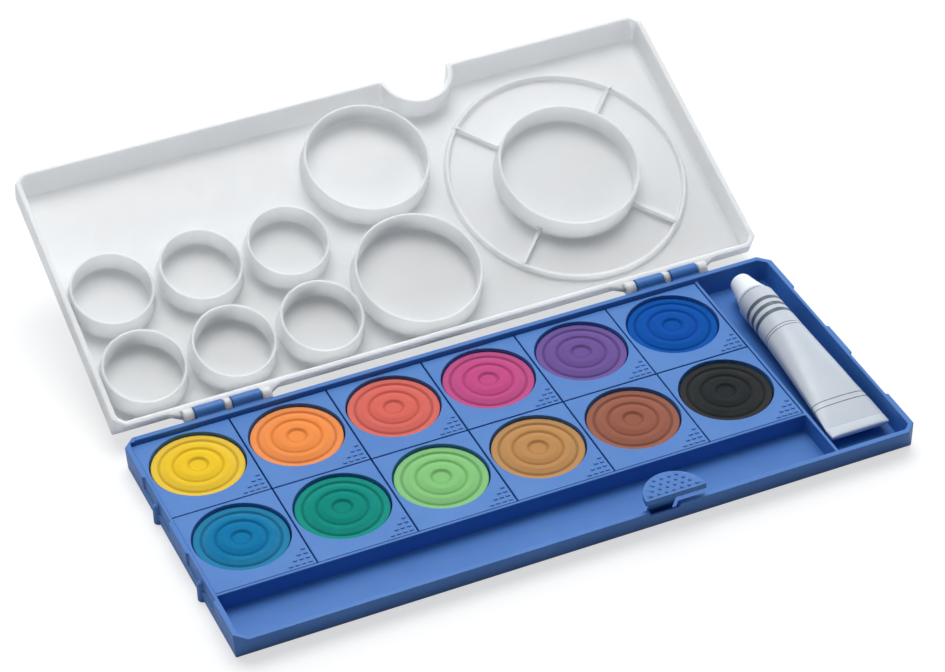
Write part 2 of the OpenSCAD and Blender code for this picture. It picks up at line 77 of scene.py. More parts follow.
def linear(red: int, green: int, blue: int) -> Colour:
    """Turn a colour written in screen values from 0 to 255 into linear light.

    Args:
        red, green, blue: the three screen values.

    Returns:
        The colour in linear light, from 0 to 1.
    """
    return tuple(c / 12.92 if c <= 0.04045 else ((c + 0.055) / 1.055) ** 2.4
                 for c in (red / 255, green / 255, blue / 255))


# ---- Materials ----


class Graph:
    """A material under construction, with short calls for its nodes and links."""

    def __init__(self, name: str) -> None:
        """Start an empty node material.

        Args:
            name: the material's name.
        """
        self.material = bpy.data.materials.new(name)
        self.material.use_nodes = True
        self.tree = self.material.node_tree
        self.tree.nodes.clear()
        self.output = self.tree.nodes.new("ShaderNodeOutputMaterial")
        self.shader = self.tree.nodes.new("ShaderNodeBsdfPrincipled")
        self.link(self.shader.outputs["BSDF"], self.output.inputs["Surface"])

    def link(self, source: bpy.types.NodeSocket, target: bpy.types.NodeSocket) -> None:
        """Join an output socket to an input socket."""
        self.tree.links.new(source, target)

    def node(self, kind: str, **inputs: object) -> bpy.types.Node:
        """Add a node and fill its inputs.

        Args:
            kind: the node's type, without its ShaderNode prefix.
            inputs: socket names, with spaces as underscores, and a value or a socket for each.

        Returns:
            The new node.
        """
        made = self.tree.nodes.new("ShaderNode" + kind)
        for key, value in inputs.items():
            self.fill(made.inputs[key.replace("_", " ")], value)
        return made

    def fill(self, socket: bpy.types.NodeSocket, value: object) -> None:
        """Give an input a value, or link it when the value is a socket.

        Args:
            socket: the input.
            value: a number, a colour, a vector or an output socket.
        """
        if isinstance(value, bpy.types.NodeSocket):
            self.link(value, socket)
        else:
            socket.default_value = value

    def math(self, operation: str, a: object, b: object = 0.0) -> bpy.types.NodeSocket:
        """Work out one step of arithmetic.

        Args:
            operation: the Math node's operation.
            a, b: numbers or sockets.

        Returns:
            The result's socket.
        """
        made = self.tree.nodes.new("ShaderNodeMath")
        made.operation = operation
        self.fill(made.inputs[0], a)
        self.fill(made.inputs[1], b)
        return made.outputs[0]

    def blend(self, share: object, a: object, b: object) -> bpy.types.NodeSocket:
        """Mix two colours.

        Args:
            share: 0 for all a, 1 for all b.
            a, b: colours as triples, or sockets.

        Returns:
            The mixed colour's socket.
        """
        made = self.tree.nodes.new("ShaderNodeMix")
        made.data_type = "RGBA"
        self.fill(made.inputs["Factor"], share)
        for name, value in (("A", a), ("B", b)):
            socket = next(s for s in made.inputs if s.name == name and s.type == "RGBA")
            self.fill(socket, (*value, 1.0) if isinstance(value, tuple) else value)
        return next(s for s in made.outputs if s.type == "RGBA")

    def noise(self, scale: float, detail: float = 3.0, rough: float = 0.5) -> bpy.types.NodeSocket:
        """Noise on the object's own coordinates.

        Args:
            scale: cells per metre.
            detail: octaves.
            rough: how strong the fine octaves are.

        Returns:
            The noise value's socket.
        """
        place = self.node("TexCoord").outputs["Object"]
        made = self.node("TexNoise", Vector=place, Scale=scale, Detail=detail, Roughness=rough)
        return made.outputs["Fac"]

    def span(self, value: object, low: float, high: float, out_low: float,
             out_high: float) -> bpy.types.NodeSocket:
        """Stretch a value from one span onto another, without leaving it.

        Args:
            value: the socket to stretch.
            low, high: the span it comes from.
            out_low, out_high: the span it goes to.

        Returns:
            The stretched value's socket.
        """
        made = self.tree.nodes.new("ShaderNodeMapRange")
        made.clamp = True
        for key, number in zip(("Value", "From Min", "From Max", "To Min", "To Max"),
                               (value, low, high, out_low, out_high)):
            self.fill(made.inputs[key], number)
        return made.outputs["Result"]

    def bump(self, height: bpy.types.NodeSocket, depth: float, strength: float = 1.0) -> None:
        """Roughen the surface by a height.

        Args:
            height: the height's socket, from 0 to 1.
            depth: real height of one unit, in metres.
            strength: share of the bump that is used.
        """
        made = self.node("Bump", Height=height, Strength=strength, Distance=depth)
        self.link(made.outputs["Normal"], self.shader.inputs["Normal"])

    def set(self, **inputs: object) -> None:
        """Fill the shader's own inputs.

        Args:
            inputs: socket names, with spaces as underscores, and a value or a socket for each.
        """
        for key, value in inputs.items():
            if isinstance(value, tuple) and len(value) == 3:
                value = (*value, 1.0)
            self.fill(self.shader.inputs[key.replace("_", " ")], value)


@dataclass(frozen=True)
class MouldedPlastic:
    """Injection-moulded plastic with a fine spark-eroded grain.

    Attributes:
        name: the material's name.
        colour: its colour.
        shade: the slightly different colour of its cloudy patches.
        roughness: its mean roughness.
        grain: depth of the grain, in millimetres.
        grain_size: width of one grain, in millimetres.
        glow_depth: how far light runs inside the plastic, in millimetres, or 0.
        glow: share of the light that runs inside, where it does.
        specular: strength of its clear reflection.
        ior: its index of refraction.
    """

    name: str
    colour: Colour
    shade: Colour
    roughness: float
    grain: float = 0.012
    grain_size: float = 0.35
    glow_depth: float = 0.0
    glow: float = 0.85
    specular: float = 0.42
    ior: float = 1.46

    def build(self) -> bpy.types.Material:
        """Make the material.

        Returns:
            The finished material.
        """
        g = Graph(self.name)
        # Faint clouds a few centimetres wide, with specks under a millimetre.
        cloud = g.span(g.noise(38.0, 4.0, 0.6), 0.35, 0.65, 0.0, 1.0)
        speck = g.span(g.noise(1400.0, 2.0), 0.3, 0.7, 0.0, 0.25)
        mottled = g.math("ADD", g.math("MULTIPLY", cloud, 0.75), speck)
        # Handling leaves some patches slightly glossier than others.
        handled = g.span(g.noise(160.0, 3.0), 0.3, 0.7, self.roughness - 0.05,
                         self.roughness + 0.06)
        g.set(Base_Color=g.blend(mottled, self.colour, self.shade), Roughness=handled)
        g.set(Specular_IOR_Level=self.specular, IOR=self.ior)
        if self.glow_depth:
            g.set(Subsurface_Weight=self.glow, Subsurface_Scale=self.glow_depth * MM)
            g.shader.inputs["Subsurface Radius"].default_value = (1.0, 1.0, 1.0)
        grain = g.noise(1.0 / (self.grain_size * MM), 2.0, 0.6)
        g.bump(grain, self.grain * MM, 0.8)
        return g.material


@dataclass(frozen=True)
class PressedPaint:
    """Pressed gouache: dead matt and chalky, more saturated where a brush has been.

    Attributes:
        name: the material's name.
        colour: colour of the worked middle.
        border: colour of the dry border.
        roughness: its roughness.
        specular: strength of its clear reflection.
        chalk: depth of the chalky surface, in millimetres.
    """

    name: str
    colour: Colour
    border: Colour
    roughness: float = 0.92
    specular: float = 0.14
    chalk: float = 0.09

    def build(self) -> bpy.types.Material:
        """Make the material, which reads the cake's radius and groove attributes.

        Returns:
            The finished material.
        """
        g = Graph(self.name)
        radius = g.node("Attribute")
        radius.attribute_name = "radius"
        # The dry border's edge wanders, because a brush never reaches it evenly.
        uneven = g.span(g.noise(170.0, 4.0, 0.6), 0.3, 0.7, -0.12, 0.12)
        dry = g.span(g.math("ADD", radius.outputs["Fac"], uneven), 0.55, 0.86, 0.0, 1.0)
        base = g.blend(dry, self.colour, self.border)
        dust = g.span(g.noise(2300.0, 2.0, 0.7), 0.35, 0.75, 0.0, 0.22)
        pale = tuple(min(1.0, c * 1.12 + 0.02) for c in self.border)
        # Painted shade: the colour is darkened towards 0.45 of itself in the pressed grooves, where
        # shade falls.
        deep = g.node("Attribute")
        deep.attribute_name = "groove"
        shade = g.math("MULTIPLY", deep.outputs["Fac"], 0.62)
        groove_shade_colour = tuple(c * 0.45 for c in self.colour)
        g.set(Base_Color=g.blend(shade, g.blend(dust, base, pale), groove_shade_colour),
              Roughness=self.roughness)
        g.set(Specular_IOR_Level=self.specular)
        height = g.math("ADD", g.noise(900.0, 4.0, 0.65),
                        g.math("MULTIPLY", g.noise(210.0, 3.0), 0.8))
        g.bump(height, self.chalk * MM, 0.75)
        return g.material


@dataclass(frozen=True)
class PrintedEnamel:
    """White enamel on the soft tube, printed with plain rings.

    Attributes:
        name: the material's name.
        colour: the enamel's colour.
        ink: the print's colour.
        rings: for each printed ring, the distance of its middle from the shoulder and its
            width, in millimetres.
    """

    name: str
    colour: Colour
    ink: Colour
    rings: tuple[tuple[float, float], ...]

    def build(self) -> bpy.types.Material:
        """Make the material, which reads the distance from the shoulder off the UV map.

        Returns:
            The finished material.
        """
        g = Graph(self.name)
        uv = g.node("UVMap")
        uv.uv_map = "skin"
        along = g.node("SeparateXYZ", Vector=uv.outputs["UV"]).outputs["Y"]
        print_share: object = 0.0
        for middle, width in self.rings:
            off = g.math("ABSOLUTE", g.math("SUBTRACT", along, middle / UV_SPAN))
            edge = width / (2 * UV_SPAN)
            ring = g.span(off, edge * 0.8, edge * 1.15, 1.0, 0.0)
            print_share = g.math("MAXIMUM", print_share, ring)
        # The ink is thin in places, and the enamel faintly clouded.
        worn = g.span(g.noise(420.0, 4.0, 0.7), 0.30, 0.42, 0.55, 1.0)
        cloud = g.span(g.noise(60.0, 3.0), 0.3, 0.7, 0.0, 1.0)
        enamel = g.blend(cloud, self.colour, tuple(c * 0.93 for c in self.colour))
        g.set(Base_Color=g.blend(g.math("MULTIPLY", print_share, worn), enamel, self.ink),
              Roughness=g.span(g.noise(130.0, 3.0), 0.3, 0.7, 0.3, 0.44))
        g.set(Specular_IOR_Level=0.5, IOR=1.5)
        g.bump(g.noise(330.0, 4.0, 0.6), 0.05 * MM, 0.5)
        return g.material


@dataclass(frozen=True)
class PaleTable:
    """Pale matt table top that shows white to the camera and keeps the object's shadow.

    Attributes:
        name: the material's name.
        seen: the colour that the camera sees.
        thrown: the colour that lights the object from below.
        glow: how much of the white that the camera sees doesn't depend on light.
        mirrored: share of the seen white that reflections get.
    """

    name: str
    seen: Colour
    thrown: Colour
    glow: float = 0.62
    mirrored: float = 0.3

    def build(self) -> bpy.types.Material:
        """Make the material.

        Returns:
            The finished material.
        """
        g = Graph(self.name)
        path = g.node("LightPath")
        mirrored = g.math("MULTIPLY", path.outputs["Is Glossy Ray"], self.mirrored)
        seen = g.math("MAXIMUM", path.outputs["Is Camera Ray"], mirrored)
        patch = g.span(g.noise(9.0, 3.0), 0.3, 0.7, 0.985, 1.0)
        colour = g.blend(seen, self.thrown, self.seen)
        scaled = g.tree.nodes.new("ShaderNodeVectorMath")
        scaled.operation = "SCALE"
        g.link(colour, scaled.inputs[0])
        g.link(patch, scaled.inputs["Scale"])
        g.set(Base_Color=scaled.outputs[0], Roughness=0.8)
        g.set(Emission_Color=(1.0, 1.0, 1.0), Emission_Strength=g.math("MULTIPLY", seen, self.glow))
        g.set(Specular_IOR_Level=0.1)
        return g.material


# ---- Meshes ----


def piece_from(name: str, points: np.ndarray, faces: Sequence[Sequence[int]],
               smooth: bool = True) -> bpy.types.Object:
    """Make a mesh object at the origin.

    Args:
        name: the piece's name.
        points: one row of x, y, z for each vertex, in millimetres.
        faces: vertex numbers of each face.
        smooth: shade it smooth.

    Returns:
        The new object, linked into the scene.
    """
    mesh = bpy.data.meshes.new(name)
    mesh.from_pydata((points * MM).tolist(), [], faces)
    mesh.polygons.foreach_set("use_smooth", np.full(len(mesh.polygons), smooth))
    mesh.update()
    made = bpy.data.objects.new(name, mesh)
    bpy.context.scene.collection.objects.link(made)
    return made


def tube_faces(rings: int, sides: int) -> np.ndarray:
    """Quads between neighbouring closed rings of points.

    Vertex k of ring i is number i * sides + k, and the last vertex of a ring joins the first.

    Args:
        rings: how many rings there are.
        sides: how many points each ring has.

    Returns:
        One row of four vertex numbers for each quad.
    """
    i, k = np.meshgrid(np.arange(rings - 1), np.arange(sides), indexing="ij")
    after = (k + 1) % sides
    quads = np.stack([i * sides + k, i * sides + after, (i + 1) * sides + after,
                      (i + 1) * sides + k], axis=-1)
    return quads.reshape(-1, 4)


def fan(centre: int, first: int, sides: int, flip: bool) -> np.ndarray:
    """Triangles from one centre point to a closed ring.

    Args:
        centre: number of the centre vertex.
        first: number of the ring's first vertex.
        sides: how many points the ring has.
        flip: turn the triangles over.

    Returns:
        One row of three vertex numbers for each triangle.
    """
    k = np.arange(sides)
    a, b = first + k, first + (k + 1) % sides
    return np.stack([np.full(sides, centre), *((b, a) if flip else (a, b))], axis=-1)


def closed_revolve(profile: np.ndarray, sides: int,
                   place: Place) -> tuple[np.ndarray, list[list[int]]]:
    """Turn an open profile that starts and ends on the axis into a closed solid.

    Each profile row is a distance from the axis and a height. The first and last rows lie on
    the axis and become single points, and every other row becomes a ring of points at
    (distance * cos a, distance * sin a, height).

    Args:
        profile: the rows, in millimetres, from the foot upwards.
        sides: points in each ring.
        place: maps arrays of distance, angle and height to points.

    Returns:
        The points and the faces, which point outwards.
    """
    angle = np.linspace(0.0, 2 * np.pi, sides, endpoint=False)
    ring, turn = np.meshgrid(profile[1:-1, 0], angle, indexing="ij")
    height = np.repeat(profile[1:-1, 1][:, None], sides, axis=1)
    body = place(ring, turn, height).reshape(-1, 3)
    ends = [place(np.array([p[0]]), np.array([0.0]), np.array([p[1]])).reshape(1, 3)
            for p in (profile[0], profile[-1])]
    points = np.concatenate([body, *ends])
    count = len(profile) - 2
    faces = (tube_faces(count, sides).tolist()
             + fan(len(body), 0, sides, True).tolist()
             + fan(len(body) + 1, (count - 1) * sides, sides, False).tolist())
    return points, faces


class Turn(Enum):
    """Which way an edge turns between its two faces."""

    OUT = "convex"
    IN = "concave"


@dataclass(frozen=True)
class Rounding:
    """One pass of rounding over the edges of a copied solid.

    Attributes:
        turn: the edges it takes.
        width: width of the rounding, in millimetres.
        segments: faces across the rounding.
        low, high: heights in millimetres between which an edge has to lie.
        sharpest: least angle between the faces, in degrees.
    """

    turn: Turn
    width: float
    segments: int
    low: float = -1000.0
    high: float = 1000.0
    sharpest: float = 30.0

    def takes(self, edge: bmesh.types.BMEdge) -> bool:
        """Tell whether the pass rounds an edge.

        Args:
            edge: the edge.

        Returns:
            True if both its ends lie between the heights and it turns the right way.
        """
        if len(edge.link_faces) != 2 or edge.calc_face_angle(0.0) < math.radians(self.sharpest):
            return False
        heights = [v.co.z / MM for v in edge.verts]
        inside = self.low <= min(heights) and max(heights) <= self.high
        return inside and edge.is_convex == (self.turn is Turn.OUT)


def refill_flats(bm: bmesh.types.BMesh, corners: int = 12, same_way: float = 0.9995,
                 same_level: float = 4e-6) -> None:
    """Fill every large flat of a rounded mesh again, round the holes that stand in it.

    A flat keeps its old faces where the new ones don't meet a second face all round its rim.

    Args:
        bm: the mesh, changed in place.
        corners: faces with more corners than this mark the flats that are filled again.
        same_way: least cosine between the normals of one flat's faces.
        same_level: how far a flat's points may lie off its plane, in metres.
    """
    marks = [(f.normal.copy(), f.calc_center_median()) for f in bm.faces
             if len(f.verts) > corners]
    for normal, point in marks:
        level = normal.dot(point)
        flat = [f for f in bm.faces if abs(f.normal.dot(normal)) > same_way
                and all(abs(normal.dot(v.co) - level) < same_level for v in f.verts)]
        if not any(len(f.verts) > corners for f in flat):
            continue
        # The set only answers whether a face is in the flat, because its order isn't fixed.
        members = set(flat)
        edges = dict.fromkeys(e for f in flat for e in f.edges)
        rim = [e for e in edges if sum(f in members for f in e.link_faces) == 1]
        old = [list(f.verts) for f in flat]
        bmesh.ops.delete(bm, geom=flat, context="FACES_ONLY")
        filled = bmesh.ops.triangle_fill(bm, use_beauty=True, use_dissolve=False, edges=rim,
                                         normal=normal)["geom"]
        new = [g for g in filled if isinstance(g, bmesh.types.BMFace)]
        if any(len(e.link_faces) != 2 for e in rim):
            log.warning("flat at level %.2f mm kept as it was", level / MM)
            bmesh.ops.delete(bm, geom=new, context="FACES_ONLY")
            for corners_of in old:
                bm.faces.new(corners_of)
    loose = [e for e in bm.edges if not e.link_faces]
    bmesh.ops.delete(bm, geom=loose, context="EDGES")
    bmesh.ops.recalc_face_normals(bm, faces=bm.faces)


def keep_inside(mesh: bpy.types.Mesh, node: str) -> None:
    """Bring points that a rounding threw outside the solid's own box back onto the box.

    Args:
        mesh: the rounded mesh, changed in place.
        node: the solid's name.
    """
    spots = np.empty(len(mesh.vertices) * 3, np.float32)
    mesh.vertices.foreach_get("co", spots)
    low, high = (np.array(v, np.float32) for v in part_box(node))
    mesh.vertices.foreach_set("co", np.clip(spots.reshape(-1, 3), low, high).ravel())


def rounded_copy(node: str, name: str, passes: Sequence[Rounding],
                 crease: float = 38.0, plain_tops: bool = False) -> bpy.types.Object:
    """Copy a solid's mesh, round its edges, and let the copy stand for the solid.

    Args:
        node: the solid's name.
        name: the new piece's name.
        passes: the rounding passes, in order.
        crease: edges that turn by more degrees than this stay sharp in the shading.
        plain_tops: whether level faces are shaded flat, for tops with many small marks.

    Returns:
        The new piece, riding where the solid rides.
    """
    source = frame["nodes"][node]
    bm = bmesh.new()
    bm.from_mesh(source.data)
    # The solid's mesh is loose triangles: join them, then merge those that lie in one plane.
    bmesh.ops.remove_doubles(bm, verts=bm.verts, dist=2e-6)
    bmesh.ops.dissolve_limit(bm, angle_limit=math.radians(0.4), use_dissolve_boundaries=False,
                             verts=bm.verts, edges=bm.edges, delimit=set())
    for rounding in passes:
        edges = [e for e in bm.edges if rounding.takes(e)]
        bmesh.ops.bevel(bm, geom=edges, offset=rounding.width * MM, offset_type="OFFSET",
                        segments=rounding.segments, profile=0.5, affect="EDGES",
                        clamp_overlap=False, loop_slide=True, miter_outer="SHARP",
                        miter_inner="SHARP")
    refill_flats(bm)
    mesh = bpy.data.meshes.new(name)
    bm.to_mesh(mesh)
    bm.free()
    keep_inside(mesh, node)
    facing = np.empty(len(mesh.polygons) * 3, dtype=np.float32)
    mesh.polygons.foreach_get("normal", facing)
    level = np.abs(facing.reshape(-1, 3)[:, 2]) > 0.9999
    mesh.polygons.foreach_set("use_smooth", ~(level & plain_tops))
    mesh.set_sharp_from_angle(angle=math.radians(crease))
    made = bpy.data.objects.new(name, mesh)
    bpy.context.scene.collection.objects.link(made)
    weigh = made.modifiers.new("even_shading", "WEIGHTED_NORMAL")
    weigh.keep_sharp = True
    weigh.weight = 90
    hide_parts(node)
    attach(made, source["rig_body"])
    return made


def mark(piece: bpy.types.Object, name: str, values: np.ndarray) -> None:
    """Store one number for each vertex, for the piece's material to read.

    Args:
        piece: the object.
        name: the attribute's name.
        values: the numbers, in the order of the vertices.
    """
    attribute = piece.data.attributes.new(name, "FLOAT", "POINT")
    attribute.data.foreach_set("value", values.astype(np.float32))


def dress(piece: bpy.types.Object, material: bpy.types.Material) -> None:
    """Give a piece its material, and log its face count and the material's name.

    Args:
        piece: the object.
        material: its material.
    """
    piece.data.materials.clear()
    piece.data.materials.append(material)
    log.info("%s: %d faces, %s", piece.name, len(piece.data.polygons), material.name)


# ---- Sub-assemblies ----


@dataclass
class Tray:
    """Blue tray with its thumb latch.

    All lengths are in millimetres.

    Attributes:
        plastic: the finish of both.
        edge: rounding of the outer edges.
        fillet: rounding of the inner corners.
        underside: outer edges lower than this stay sharp.
        foot: inner corners lower than this stay sharp.
        tab_edge: rounding of the latch's edges.
        dot_h: height of the grip dots on the latch, which stay sharp.
    """

    plastic: MouldedPlastic
    edge: float = 0.3
    fillet: float = 0.45
    underside: float = -0.1
    foot: float = 0.5
    tab_edge: float = 0.25
    dot_h: float = 0.25

    def build(self) -> None:
        """Make and dress the tray and the latch."""
        material = self.plastic.build()
        tray = rounded_copy("tray", "tray_shell", [
            Rounding(Turn.OUT, self.edge, 2, low=self.underside),
            Rounding(Turn.IN, self.fillet, 2, low=self.foot)])
        dress(tray, material)
        plate_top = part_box("thumb_latch")[1].z / MM - self.dot_h
        latch = rounded_copy("thumb_latch", "thumb_tab", [
            Rounding(Turn.OUT, self.tab_edge, 2, high=plate_top, sharpest=50.0)],
            crease=16.0, plain_tops=True)
        dress(latch, material)


@dataclass
class PaletteLid:
    """White lid with its mixing wells and hinge knuckles.

    Attributes:
        plastic: its finish.
        edge: rounding of the rims, in millimetres.
        fillet: rounding where walls meet the floor, in millimetres.
    """

    plastic: MouldedPlastic
    edge: float = 0.35
    fillet: float = 0.55

    def build(self) -> None:
        """Make and dress the lid."""
        lid = rounded_copy("palette_lid", "palette", [
            Rounding(Turn.IN, self.fillet, 3),
            Rounding(Turn.OUT, self.edge, 2)])
        dress(lid, self.plastic.build())


class Paint(Enum):
    """The twelve paints: middle colour, border colour."""

    yellow = (linear(234, 194, 38), linear(232, 195, 66))
    orange = (linear(240, 143, 72), linear(238, 146, 84))
    red = (linear(213, 101, 90), linear(214, 108, 98))
    magenta = (linear(192, 74, 130), linear(190, 82, 134))
    violet = (linear(106, 80, 146), linear(112, 88, 152))
    ultramarine = (linear(0, 76, 164), linear(0, 82, 168))
    cyan_blue = (linear(0, 112, 162), linear(38, 126, 166))
    blue_green = (linear(0, 130, 118), linear(22, 142, 128))
    light_green = (linear(130, 192, 120), linear(134, 194, 126))
    ochre = (linear(184, 135, 82), linear(186, 140, 90))
    brown = (linear(148, 90, 72), linear(151, 97, 80))
    black = (linear(36, 40, 42), linear(48, 50, 50))


@dataclass
class PaintPan:
    """One lift-out pan with its pressed cake.

    Lengths are in millimetres, and shares are shares of the cake's radius.

    Attributes:
        paint: which paint it holds.
        plastic: the pan's material, shared by all pans.
        seed: sets this cake's own small unevenness.
        edge: rounding of the plate's upper edges.
        nib_h: height of the grip nibs above the plate.
        sides: points round a ring of the cake.
        rings: rings across the pressed top.
        top_share: where the pressed top ends.
        step: height of one step of the relief.
        relief: share and height in steps of the relief's points, from the border inwards.
        softness: how many of the profile's 400 samples are averaged at each shoulder.
        groove_reach: share to each side over which the mean height is taken.
        full_groove: depth below that mean, in steps, that counts as a whole groove.
    """

    paint: Paint
    plastic: bpy.types.Material
    seed: int
    edge: float = 0.2
    nib_h: float = 0.3
    sides: int = 144
    rings: int = 86
    top_share: float = 0.955
    step: float = 0.35
    relief: tuple[tuple[float, float], ...] = (
        (0.955, -0.3), (0.875, -0.3), (0.845, -1.8), (0.82, -1.8), (0.79, -0.5), (0.67, 1.1),
        (0.58, 1.1), (0.545, -0.2), (0.52, -0.2), (0.49, 0.7), (0.38, 2.0), (0.245, 2.0),
        (0.205, 0.3), (0.18, 0.2), (0.15, 0.45), (0.0, 0.5))
    softness: int = 9
    groove_reach: float = 0.055
    full_groove: float = 0.8

    def build(self) -> None:
        """Make and dress the pan and its cake."""
        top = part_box(f"pan_{self.paint.name}")[1].z / MM - self.nib_h
        pan = rounded_copy(f"pan_{self.paint.name}", f"pan_body_{self.paint.name}", [
            Rounding(Turn.OUT, self.edge, 2, low=top - 0.05, high=top + 0.05)],
            crease=24.0, plain_tops=True)
        dress(pan, self.plastic)
        self.cake()

    def heights(self, share: np.ndarray) -> np.ndarray:
        """Height of the pressed surface above its border.

        The steps are linear between the relief's points, then softened by a running mean, so
        that each shoulder is round.

        Args:
            share: distances from the middle, as shares of the radius.

        Returns:
            The heights, in steps.
        """
        knots = np.array(self.relief)[::-1]
        fine = np.linspace(0.0, self.top_share, 400)
        raw = np.interp(fine, knots[:, 0], knots[:, 1])
        padded = np.pad(raw, self.softness // 2, mode="edge")
        soft = np.convolve(padded, np.ones(self.softness) / self.softness, mode="valid")
        return np.interp(share, fine, soft)

    def grooves(self, share: np.ndarray) -> np.ndarray:
        """How deep each point lies below the mean height about it, from 0 to 1.

        Args:
            share: distances from the middle, as shares of the radius.

        Returns:
            The depths: 0 on open ground, 1 at the bottom of a groove.
        """
        reach = np.linspace(-self.groove_reach, self.groove_reach, 23)
        near = np.clip(share[:, None] + reach[None, :], 0.0, self.top_share)
        about = self.heights(near).mean(axis=1)
        return np.clip((about - self.heights(share)) / self.full_groove, 0.0, 1.0)

    def profile(self, radius: float, foot: float, border: float) -> np.ndarray:
        """Outline of the cake: up its side, over a round shoulder and in across the relief.

        Args:
            radius: the cake's radius.
            foot: height of its underside.
            border: height of its flat border.

        Returns:
            One row of distance from the axis and height for each point, from the foot up.
        """
        across = np.linspace(0.0, self.top_share, self.rings)
        top = np.stack([across * radius, border + self.heights(across) * self.step], axis=-1)
        shoulder = np.array([[0.996 * radius, border - 0.2], [0.986 * radius, border - 0.08],
                             [0.972 * radius, border - 0.02]])
        side = np.array([[0.0, foot], [radius - 0.3, foot], [radius, foot + 0.4],
                         [radius, border - 0.4]])
        return np.concatenate([side, shoulder, top[::-1]])

    def wear(self, radius: float) -> Callable[[np.ndarray, np.ndarray], np.ndarray]:
        """Unevenness of this cake: slow sine waves across the disc, less two smooth hollows.

        Args:
            radius: the cake's radius.

        Returns:
            A function from places x and y on the disc to heights.
        """
        rng = np.random.default_rng(self.seed)
        waves = [(rng.uniform(0.15, 0.5), rng.uniform(0, 6.28), rng.uniform(0, 6.28),
                  rng.uniform(0.3, 1.0)) for _ in range(7)]
        hollows = rng.uniform(-0.35, 0.35, (2, 2)) * radius
        depths = rng.uniform(0.03, 0.12, 2)

        def height(x: np.ndarray, y: np.ndarray) -> np.ndarray:
            """Sum the waves and take off the hollows.

            Args:
                x, y: places on the disc, from its middle.

            Returns:
                The height at each place.
            """
            lift = sum(size * np.sin(pace * (x * np.cos(way) + y * np.sin(way)) + start)
                       for pace, way, start, size in waves) * 0.022
            for (hollow_x, hollow_y), depth in zip(hollows, depths):
                lift = lift - depth * np.exp(-((x - hollow_x) ** 2 + (y - hollow_y) ** 2) / 14.0)
            return lift

        return height

    def cake(self) -> None:
        """Build the cake: a disc whose top follows the relief and is worn in places."""
        node = f"cake_{self.paint.name}"
        low, high = (np.array(v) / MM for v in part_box(node))
        centre = (low[:2] + high[:2]) / 2
        radius = (high[0] - low[0]) / 2
        border = high[2] - 2 * self.step
        uneven = self.wear(radius)

        def place(ring: np.ndarray, turn: np.ndarray, height: np.ndarray) -> np.ndarray:
            """Points of the cake, lowered by its wear, which fades out at the border and below.

            Args:
                ring, turn, height: distance from the axis, angle and height.

            Returns:
                The points, as x, y, z.
            """
            x, y = ring * np.cos(turn), ring * np.sin(turn)
            on_top = np.clip((height - border + 0.6) / 0.5, 0.0, 1.0)
            fade = on_top * np.clip((0.97 - ring / radius) / 0.15, 0.0, 1.0)
            z = height + np.minimum(uneven(x, y), 0.0) * fade
            return np.stack([centre[0] + x, centre[1] + y, z], axis=-1)

        points, faces = closed_revolve(self.profile(radius, low[2], border), self.sides, place)
        piece = piece_from(f"pressed_{self.paint.name}", points, faces)
        share = np.hypot(points[:, 0] - centre[0], points[:, 1] - centre[1]) / radius
        mark(piece, "radius", share)
        # The groove depth sets how much painted shade the material lays into the grooves.
        mark(piece, "groove", self.grooves(np.clip(share, 0.0, self.top_share)))
        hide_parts(node)
        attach(piece, frame["nodes"][node]["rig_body"])
        middle, rim = self.paint.value
        dress(piece, PressedPaint(f"gouache_{self.paint.name}", middle, rim).build())


